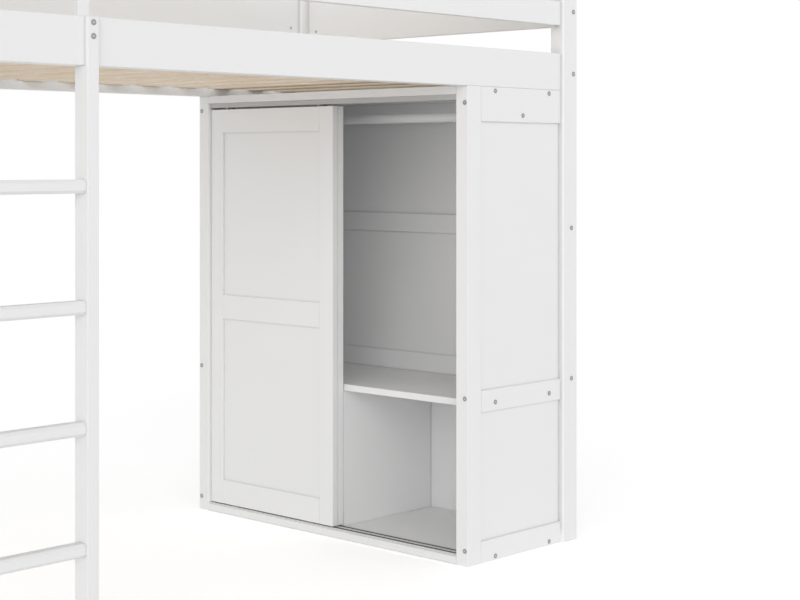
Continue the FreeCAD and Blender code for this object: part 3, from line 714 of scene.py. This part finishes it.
def model_bolt():
    """One bolt at the origin, the top of its head at z = 0 and facing +Z."""
    clear_selection()
    bpy.ops.mesh.primitive_cylinder_add(vertices=HEAD_SIDES, radius=HEAD_RADIUS, depth=HEAD_HEIGHT,
                                        location=(0, 0, -HEAD_HEIGHT / 2))
    bolt = bpy.context.object
    bpy.ops.object.transform_apply(location=True)
    bpy.ops.object.mode_set(mode="EDIT")
    # The chamfer: an inner rim on top, and the outer rim lowered
    pick(bolt, lambda middle, part: middle.z > -SMALLEST_MOVE)
    bpy.ops.mesh.inset(thickness=HEAD_CHAMFER)
    pick(bolt, lambda middle, part: middle.z > -SMALLEST_MOVE
         and middle.xy.length > HEAD_RADIUS - SMALLEST_MOVE, "VERT")
    bpy.ops.transform.translate(value=(0, 0, -HEAD_CHAMFER / 2))
    # The lip around the flat, whose face is taken out
    pick(bolt, lambda middle, part: middle.z > -SMALLEST_MOVE and len(part.verts) > 4)
    bpy.ops.mesh.inset(thickness=HEAD_LIP_WIDTH, depth=-HEAD_LIP_DEPTH)
    pick(bolt, lambda middle, part: middle.z > -HEAD_HEIGHT / 2 and len(part.verts) > 4)
    bpy.ops.mesh.delete(type="ONLY_FACE")
    # The hexagon, bridged to the lip and sunk
    flat_radius = HEAD_RADIUS - HEAD_LIP_WIDTH - HEAD_CHAMFER
    bpy.ops.mesh.select_mode(type="VERT")
    bpy.ops.mesh.primitive_circle_add(vertices=SOCKET_SIDES, radius=SOCKET_RADIUS, fill_type="NOTHING",
                                      location=(0, 0, -HEAD_LIP_DEPTH))
    pick(bolt, lambda middle, part: all(
        corner.co.xy.length < flat_radius + SMALLEST_MOVE and corner.co.z > -HEAD_HEIGHT / 2
        for corner in part.verts) and part.is_boundary or part.is_wire, "EDGE")
    bpy.ops.mesh.bridge_edge_loops()
    pick(bolt, lambda middle, part: part.is_boundary, "EDGE")
    bpy.ops.mesh.extrude_region_move(TRANSFORM_OT_translate={"value": (0, 0, -SOCKET_DEPTH)})
    bpy.ops.mesh.edge_face_add()
    # A short shank, which place_copies draws out to the bolt's length
    pick(bolt, lambda middle, part: middle.z < -HEAD_HEIGHT + SMALLEST_MOVE)
    bpy.ops.mesh.inset(thickness=HEAD_RADIUS - SHANK_RADIUS)
    pick(bolt, lambda middle, part: middle.z < -HEAD_HEIGHT + SMALLEST_MOVE and len(part.verts) > 4)
    bpy.ops.mesh.extrude_region_move(TRANSFORM_OT_translate={"value": (0, 0, -SHANK_STUB)})
    bpy.ops.object.mode_set(mode="OBJECT")
    round_edges(bolt, HEAD_ROUNDING)
    # The middle of the head keeps the brighter steel as a painted highlight, and the rest of the head gets
    # the darker steel as a painted shade ring
    bolt.data.materials.append(STEEL)
    bolt.data.materials.append(SHADED_HEAD_STEEL)
    bpy.ops.object.mode_set(mode="EDIT")
    pick(bolt, lambda middle, part: middle.xy.length > SOCKET_RADIUS)
    bolt.active_material_index = 1
    bpy.ops.object.material_slot_assign()
    bpy.ops.object.mode_set(mode="OBJECT")
    return bolt


def bolt_place(points):
    """Where the top of a bolt's head is, which way it faces and how long the bolt is."""
    low, high = box_of(points)
    axis = longest_axis(high - low)
    middle = (low + high) / 2
    across = [index for index in range(3) if index != axis]
    head = [point[axis] for point in points
            if math.hypot(*(point[index] - middle[index] for index in across)) > HEAD_REACH]
    sign = 1 if sum(head) / len(head) > middle[axis] else -1
    return bar_end(low, high, axis, sign)


def make_bolts():
    places = [bolt_place(points) for points in loose_solids("connector_bolts")]
    bolts = place_copies(model_bolt(), places, HEAD_HEIGHT + SHANK_STUB / 2)
    settle(bolts, "bolt_set", None, "root", "bolt_steel", "connector_bolts")


# Cross nuts and screws with a screwdriver slot

def model_slotted(radius, depth, slot_width, slot_depth, sides):
    """A slotted round head at the origin, its top at z = 0 and facing +Z."""
    clear_selection()
    bpy.ops.mesh.primitive_cylinder_add(vertices=sides, radius=radius, depth=depth,
                                        location=(0, 0, -depth / 2))
    head = bpy.context.object
    bpy.ops.object.transform_apply(location=True)
    bpy.ops.object.mode_set(mode="EDIT")
    for side in (-1, 1):
        bpy.ops.mesh.select_all(action="SELECT")
        bpy.ops.mesh.bisect(plane_co=(side * slot_width / 2, 0, 0), plane_no=(1, 0, 0))
    pick(head, lambda middle, part: middle.z > -SMALLEST_MOVE and abs(middle.x) < slot_width / 2)
    bpy.ops.mesh.extrude_region_move(TRANSFORM_OT_translate={"value": (0, 0, -slot_depth)})
    bpy.ops.object.mode_set(mode="OBJECT")
    round_edges(head, min(SLOT_ROUNDING, slot_depth * SLOT_ROUNDING_SHARE))
    return head


def nut_place(points):
    """Where the slotted end of a cross nut is: the end towards the middle of the bed."""
    low, high = box_of(points)
    axis = longest_axis(high - low)
    sign = -1 if (low + high)[axis] > 0 else 1
    return bar_end(low, high, axis, sign)


def make_nuts():
    places = [nut_place(points) for points in loose_solids("cross_nuts")]
    model = model_slotted(NUT_RADIUS, NUT_STUB, NUT_SLOT_WIDTH, NUT_SLOT_DEPTH, NUT_SIDES)
    nuts = place_copies(model, places, NUT_STUB / 2)
    settle(nuts, "cross_nut_set", ZINC, "root", "nut_zinc", "cross_nuts")


# Nails through the ends of the slats into the cleats

def model_nail():
    """A low domed nail head, half of it sunk in the wood."""
    clear_selection()
    bpy.ops.mesh.primitive_cylinder_add(vertices=NAIL_SIDES, radius=NAIL_RADIUS, depth=NAIL_PROUD * 2)
    nail = bpy.context.object
    bpy.ops.object.mode_set(mode="EDIT")
    pick(nail, lambda middle, part: middle.z > NAIL_PROUD - SMALLEST_MOVE)
    bpy.ops.mesh.inset(thickness=NAIL_DOME_WIDTH, depth=NAIL_DOME_RISE)
    bpy.ops.object.mode_set(mode="OBJECT")
    round_edges(nail, NAIL_ROUNDING)
    return nail


def make_nails():
    cleat_low, cleat_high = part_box("back_slat_cleat")
    cleat_line = (cleat_low.y + cleat_high.y) / 2
    places = []
    for points in loose_solids("bed_slats"):
        low, high = box_of(points)
        middle = (low.x + high.x) / 2
        for side in (-1, 1):
            for step in (-NAIL_SPREAD, NAIL_SPREAD):
                places.append((Vector((middle + step, side * cleat_line, high.z)), UP, None))
    nails = place_copies(model_nail(), places)
    settle(nails, "slat_nail_set", ZINC, "root", "nut_zinc")


# Door wheels with a rounded tread, a sunk web and a raised hub

def model_wheel(radius, width):
    """One wheel at the origin, its axle along Z."""
    clear_selection()
    bpy.ops.mesh.primitive_cylinder_add(vertices=WHEEL_SIDES, radius=radius, depth=width)
    wheel = bpy.context.object
    bpy.ops.object.mode_set(mode="EDIT")
    web_width = radius - WHEEL_RIM - WHEEL_SLOPE - WHEEL_SLOPE - WHEEL_HUB
    steps = ((WHEEL_RIM, 0), (WHEEL_SLOPE, -WHEEL_WEB_DEPTH), (web_width, 0),
             (WHEEL_SLOPE, WHEEL_HUB_RISE), (WHEEL_HUB - WHEEL_BORE, 0))
    for side in (-1, 1):
        def cap(middle, part):
            return side * middle.z > 0 and len(part.verts) > 4
        for inward, outward in steps:
            pick(wheel, cap)
            bpy.ops.mesh.inset(thickness=inward, depth=outward)
        pick(wheel, cap)
        bpy.ops.mesh.delete(type="ONLY_FACE")
    pick(wheel, lambda middle, part: part.is_boundary, "EDGE")
    bpy.ops.mesh.bridge_edge_loops()
    bpy.ops.object.mode_set(mode="OBJECT")
    round_edges(wheel, WHEEL_TREAD_ROUNDING)
    return wheel


def make_wheels():
    for door in ("front_door", "rear_door"):
        for end in ("low", "high"):
            node = door + "_wheel_" + end
            low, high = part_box(node)
            model = model_wheel((high.z - low.z) / 2, high.x - low.x)
            wheel = place_copies(model, [((low + high) / 2, Vector((1, 0, 0)), None)])
            settle(wheel, node + "_moulded", NYLON, node, "nylon", node)


# Guide buttons: a plate let into the door's top edge and a pin with a rounded top

def model_plate(low, high):
    """The plate at the foot of a guide button, its corners and top edges rounded."""
    middle = (low + high) / 2
    top = low.z + BUTTON_PLATE_THICKNESS
    clear_selection()
    bpy.ops.mesh.primitive_cube_add(size=1, location=(middle.x, middle.y, (low.z + top) / 2))
    plate = bpy.context.object
    plate.scale = (high.x - low.x, high.y - low.y, BUTTON_PLATE_THICKNESS)
    bpy.ops.object.transform_apply(location=True, scale=True)
    bpy.ops.object.mode_set(mode="EDIT")
    pick(plate, lambda middle, part: abs(part.verts[0].co.z - part.verts[1].co.z) > SMALLEST_MOVE, "EDGE")
    bpy.ops.mesh.bevel(offset=BUTTON_PLATE_CORNER, segments=4, affect="EDGES")
    pick(plate, lambda middle, part: middle.z > top - SMALLEST_MOVE)
    bpy.ops.mesh.bevel(offset=BUTTON_PLATE_ROUNDING, segments=ROUNDING_SEGMENTS, affect="EDGES")
    bpy.ops.object.mode_set(mode="OBJECT")
    return plate


def model_pin(low, high):
    """The pin of a guide button, from inside its plate up, with a dimple in its rounded top."""
    middle = (low + high) / 2
    foot = low.z + BUTTON_PLATE_THICKNESS / 2
    clear_selection()
    bpy.ops.mesh.primitive_cylinder_add(vertices=BUTTON_PIN_SIDES, radius=BUTTON_PIN_RADIUS,
                                        depth=high.z - foot,
                                        location=(middle.x, middle.y, (foot + high.z) / 2))
    pin = bpy.context.object
    bpy.ops.object.transform_apply(location=True)
    bpy.ops.object.mode_set(mode="EDIT")
    pick(pin, lambda middle, part: middle.z > high.z - SMALLEST_MOVE)
    bpy.ops.mesh.bevel(offset=BUTTON_PIN_ROUNDING, segments=3, affect="EDGES")
    pick(pin, lambda middle, part: middle.z > high.z - SMALLEST_MOVE and len(part.verts) > 4)
    bpy.ops.mesh.inset(thickness=BUTTON_DIMPLE_MARGIN)
    bpy.ops.mesh.inset(thickness=BUTTON_DIMPLE_SLOPE, depth=-BUTTON_DIMPLE_DEPTH)
    bpy.ops.object.mode_set(mode="OBJECT")
    return pin


def model_button(low, high):
    """One guide button between its corners, in place."""
    button = join([model_pin(low, high), model_plate(low, high)])
    bpy.ops.object.shade_smooth_by_angle(angle=SMOOTH_ANGLE)
    return button


def make_buttons():
    for door in ("front", "rear"):
        node = door + "_top_guides"
        buttons = join([model_button(*box_of(points)) for points in loose_solids(node)])
        settle(buttons, node + "_moulded", BUTTON, door + "_door", "housing_plastic", node)


# Countersunk screws in the doors' roller units and guide buttons

def screw_pair(low, high, from_end, height, outward):
    """Two places on the middle line of a unit between its corners, near its ends in Y."""
    middle = (low.x + high.x) / 2
    return [(Vector((middle, y, height)), outward, None) for y in (low.y + from_end, high.y - from_end)]


def make_door_screws():
    """Screws in the flanges under each roller unit and in the plates of the guide buttons."""
    for door in ("front", "rear"):
        places = []
        for points in loose_solids(door + "_roller_housings"):
            low, high = box_of(points)
            places += screw_pair(low, high, SCREW_FROM_END, low.z - SCREW_PROUD, -UP)
        for points in loose_solids(door + "_top_guides"):
            low, high = box_of(points)
            from_end = (high.y - low.y) * BUTTON_SCREW_SHARE
            plate_top = low.z + BUTTON_PLATE_THICKNESS
            places += screw_pair(low, high, from_end, plate_top + SCREW_PROUD, UP)
        model = model_slotted(SCREW_RADIUS, SCREW_HEAD_DEPTH, SCREW_SLOT_WIDTH, SCREW_SLOT_DEPTH, SCREW_SIDES)
        screws = place_copies(model, places)
        settle(screws, door + "_door_screws", ZINC, door + "_door", "nut_zinc")


# Light, floor and camera

def seen_directly(tree):
    """1 where the camera sees the surroundings, straight or in a reflection, and 0 where they give light."""
    path = add(tree, "ShaderNodeLightPath")
    reflected = calculate(tree, "MAXIMUM", path.outputs["Is Glossy Ray"], path.outputs["Is Transmission Ray"])
    return calculate(tree, "MAXIMUM", path.outputs["Is Camera Ray"], reflected)


def make_surroundings():
    """White to the camera, and soft light on the bed."""
    world = bpy.data.worlds.new("Studio")
    bpy.context.scene.world = world
    world.use_nodes = True
    tree = world.node_tree
    tree.nodes.clear()
    around = add(tree, "ShaderNodeTexCoord").outputs["Generated"]
    level = spread(tree, split_axes(tree, around)["Z"], AMBIENT_LEVEL, AMBIENT_OVERHEAD)
    facing = add(tree, "ShaderNodeVectorMath", operation="DOT_PRODUCT")
    facing.inputs[1].default_value = AMBIENT_FRONT
    tree.links.new(around, facing.inputs[0])
    forward = calculate(tree, "ADD", facing.outputs["Value"], AMBIENT_FADE_START)
    strength = calculate(tree, "MULTIPLY", level, spread(tree, forward, AMBIENT_BEHIND, 1.0))
    soft = add(tree, "ShaderNodeBackground")
    soft.inputs["Color"].default_value = PURE_WHITE
    tree.links.new(strength, soft.inputs["Strength"])
    shown = add(tree, "ShaderNodeBackground")
    shown.inputs["Color"].default_value = PURE_WHITE
    shown.inputs["Strength"].default_value = 1.0
    mixed = add(tree, "ShaderNodeMixShader")
    tree.links.new(seen_directly(tree), mixed.inputs["Fac"])
    tree.links.new(soft.outputs[0], mixed.inputs[1])
    tree.links.new(shown.outputs[0], mixed.inputs[2])
    tree.links.new(mixed.outputs[0], add(tree, "ShaderNodeOutputWorld").inputs["Surface"])


def make_key_light():
    sun = bpy.data.lights.new("Key", "SUN")
    sun.energy = KEY_STRENGTH
    sun.angle = KEY_SPREAD
    key = bpy.data.objects.new("Key", sun)
    key.rotation_euler = KEY_TURN
    bpy.context.scene.collection.objects.link(key)


def floor_white():
    """Matt white with a faint lift where it is seen, so that it meets the white behind it."""
    material = bpy.data.materials.new("Floor")
    material.use_nodes = True
    tree = material.node_tree
    shader = tree.nodes["Principled BSDF"]
    shader.inputs["Base Color"].default_value = (FLOOR_ALBEDO, FLOOR_ALBEDO, FLOOR_ALBEDO, 1)
    shader.inputs["Roughness"].default_value = FLOOR_ROUGHNESS
    shader.inputs["Specular IOR Level"].default_value = 0.0
    lift = add(tree, "ShaderNodeEmission")
    tree.links.new(calculate(tree, "MULTIPLY", seen_directly(tree), FLOOR_LIFT), lift.inputs["Strength"])
    both = add(tree, "ShaderNodeAddShader")
    tree.links.new(shader.outputs[0], both.inputs[0])
    tree.links.new(lift.outputs[0], both.inputs[1])
    tree.links.new(both.outputs[0], tree.nodes["Material Output"].inputs["Surface"])
    return material


def make_floor():
    clear_selection()
    bpy.ops.mesh.primitive_plane_add(size=FLOOR_SIZE)
    floor = bpy.context.object
    floor.name = "Floor"
    floor.data.materials.append(floor_white())


def make_camera():
    lens = bpy.data.cameras.new("Camera")
    lens.lens = CAMERA_LENS
    lens.sensor_width = CAMERA_SENSOR
    lens.shift_y = CAMERA_SHIFT_UP
    lens.clip_end = CAMERA_REACH
    camera = bpy.data.objects.new("Camera", lens)
    camera.location = CAMERA_PLACE
    camera.rotation_euler = CAMERA_TURN
    bpy.context.scene.collection.objects.link(camera)
    bpy.context.scene.camera = camera
    bpy.context.scene.view_settings.view_transform = "Standard"


make_camera()
make_surroundings()
make_key_light()
make_floor()
dress_nodes()
make_bolts()
make_nuts()
make_nails()
make_wheels()
# The screws take their places from the guide buttons' CAD nodes, so they come before the new buttons
make_door_screws()
make_buttons()
